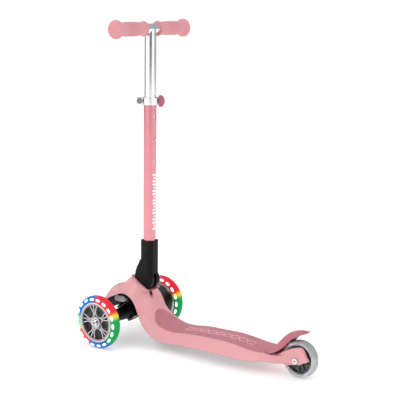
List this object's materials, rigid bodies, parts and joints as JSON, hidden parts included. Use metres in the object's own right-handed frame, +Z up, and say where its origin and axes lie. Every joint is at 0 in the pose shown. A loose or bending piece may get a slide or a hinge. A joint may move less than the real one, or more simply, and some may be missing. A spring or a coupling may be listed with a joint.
{
  "type": "kick scooter",
  "caption": "Small child's three-wheeled kick scooter: lean-to-steer front truck with lit wheels, moulded deck, folding telescopic stem with T bar and rear foot brake.",
  "frame": {"origin": "on the ground under the middle of the overall length and width", "axes": "+X to the rear of the scooter, +Y to the rider's right, +Z up"},
  "size_m": [0.5873, 0.2562, 0.7339],
  "materials": {
    "deck_pink": "satin moulded",
    "pad_rubber": "fine texture",
    "black_plastic": "satin moulded",
    "steel_plate": "rolled",
    "cast_alloy": "cast",
    "cushion_rubber": "matt",
    "bright_steel": "bright",
    "chrome_bolt": "polished",
    "bush_plastic": "natural",
    "clear_tyre": "clear cast polyurethane",
    "rear_hub_grey": "metal flake",
    "brake_plum": "satin moulded",
    "black_steel": "black oxide",
    "anodised_pink": "satin anodised",
    "silver_alloy": "polished",
    "silver_tube": "polished anodised",
    "grip_rubber": "matt soft",
    "lever_plum": "satin moulded",
    "button_grey": "moulded",
    "lit_tyre": "translucent cast polyurethane, lit from inside",
    "light_white": "diffusing",
    "hub_silver": "metallic",
    "hub_black": "moulded"
  },
  "bodies": {
    "deck": {"deck_shell": "deck_pink", "grip_pad": "pad_rubber", "arch_liner": "black_plastic", "deck_plate": "steel_plate", "deck_screws": "steel_plate", "hinge_tongue": "cast_alloy", "steering_housing": "black_plastic", "steering_cushions": "cushion_rubber", "kingpin": "bright_steel", "kingpin_nut": "bright_steel", "lock_button_spring": "bright_steel", "brake_pin": "bright_steel", "brake_spring": "bright_steel", "rear_axle": "chrome_bolt", "rear_axle_nut": "chrome_bolt", "rear_axle_spacers": "bright_steel"},
    "front_carriage": {"front_carriage": "black_plastic", "kingpin_bushes": "bush_plastic", "front_axles": "chrome_bolt", "steering_stop_screws": "bright_steel"},
    "rear_wheel": {"rear_tyre": "clear_tyre", "rear_hub": "rear_hub_grey", "rear_bearings": "bright_steel", "rear_bearing_spacer": "bright_steel"},
    "brake": {"brake_fender": "brake_plum", "brake_wear_plate": "steel_plate", "wear_plate_rivets": "steel_plate"},
    "stem": {"hinge_knuckle": "black_plastic", "fold_pin": "black_steel", "knuckle_screws": "black_steel", "outer_tube": "anodised_pink", "clamp_collar": "silver_alloy", "clamp_bolt": "bright_steel", "clamp_nut": "silver_alloy", "lever_pin": "bright_steel"},
    "fold_release": {"fold_release_tab": "black_plastic"},
    "handlebar": {"inner_tube": "silver_tube", "crossbar": "silver_tube", "grip_left": "grip_rubber", "grip_right": "grip_rubber", "bar_plugs": "black_plastic", "button_spring": "bright_steel"},
    "height_button": {"height_button": "bright_steel"},
    "clamp_lever": {"clamp_lever": "lever_plum"},
    "lock_button": {"steering_lock_button": "button_grey"},
    "front_wheel_left": {"front_tyre_left": "lit_tyre", "light_ring_left": "light_white", "front_hub_left": "hub_silver", "front_hub_disc_left": "hub_black", "front_bearings_left": "bright_steel", "front_bearing_spacer_left": "bright_steel"},
    "front_wheel_right": {"front_tyre_right": "lit_tyre", "light_ring_right": "light_white", "front_hub_right": "hub_silver", "front_hub_disc_right": "hub_black", "front_bearings_right": "bright_steel", "front_bearing_spacer_right": "bright_steel"}
  },
  "joints": [
    {"name": "steer_lean", "type": "hinge", "parent": "deck", "child": "front_carriage", "pos_m": [-0.21575, 0, 0.0605], "axis": [-0.5878, 0, 0.809], "range_deg": [-12, 12], "stiffness_Nm_per_rad": 10},
    {"name": "rear_wheel_spin", "type": "hinge", "parent": "deck", "child": "rear_wheel", "pos_m": [0.25175, 0, 0.04], "axis": [0, 1, 0], "continuous": true},
    {"name": "brake_press", "type": "hinge", "parent": "deck", "child": "brake", "pos_m": [0.18825, 0, 0.044], "axis": [0, 1, 0], "range_deg": [0, 3.9], "stiffness_Nm_per_rad": 1.5, "springref_deg": -6.88},
    {"name": "stem_fold", "type": "hinge", "parent": "deck", "child": "stem", "pos_m": [-0.16575, 0, 0.147], "axis": [0, 1, 0], "range_deg": [0, 88]},
    {"name": "fold_release_pull", "type": "slide", "parent": "deck", "child": "fold_release", "axis": [0.2846, 0, -0.9586], "range_m": [0, 0.004], "stiffness_N_per_m": 600, "springref_m": -0.002},
    {"name": "handlebar_height", "type": "slide", "parent": "stem", "child": "handlebar", "axis": [0.0175, 0, 0.9998], "range_m": [-0.05, 0.05], "deforming": ["height_button"]},
    {"name": "height_button_press", "type": "slide", "parent": "handlebar", "child": "height_button", "axis": [-0.9998, 0, 0.0175], "range_m": [0, 0.0035], "stiffness_N_per_m": 400, "springref_m": -0.001, "deforming": ["button_spring"]},
    {"name": "clamp_lever_open", "type": "hinge", "parent": "stem", "child": "clamp_lever", "pos_m": [-0.17836, -0.00474, 0.55537], "axis": [0.0175, 0, 0.9998], "range_deg": [0, 100]},
    {"name": "steering_lock_press", "type": "slide", "parent": "deck", "child": "lock_button", "axis": [0, 1, 0], "range_m": [0, 0.003], "stiffness_N_per_m": 500, "springref_m": -0.001, "deforming": ["lock_button_spring"]},
    {"name": "front_wheel_left_spin", "type": "hinge", "parent": "front_carriage", "child": "front_wheel_left", "pos_m": [-0.21575, -0.113, 0.0605], "axis": [0, 1, 0], "continuous": true},
    {"name": "front_wheel_right_spin", "type": "hinge", "parent": "front_carriage", "child": "front_wheel_right", "pos_m": [-0.21575, 0.113, 0.0605], "axis": [0, 1, 0], "continuous": true}
  ]
}
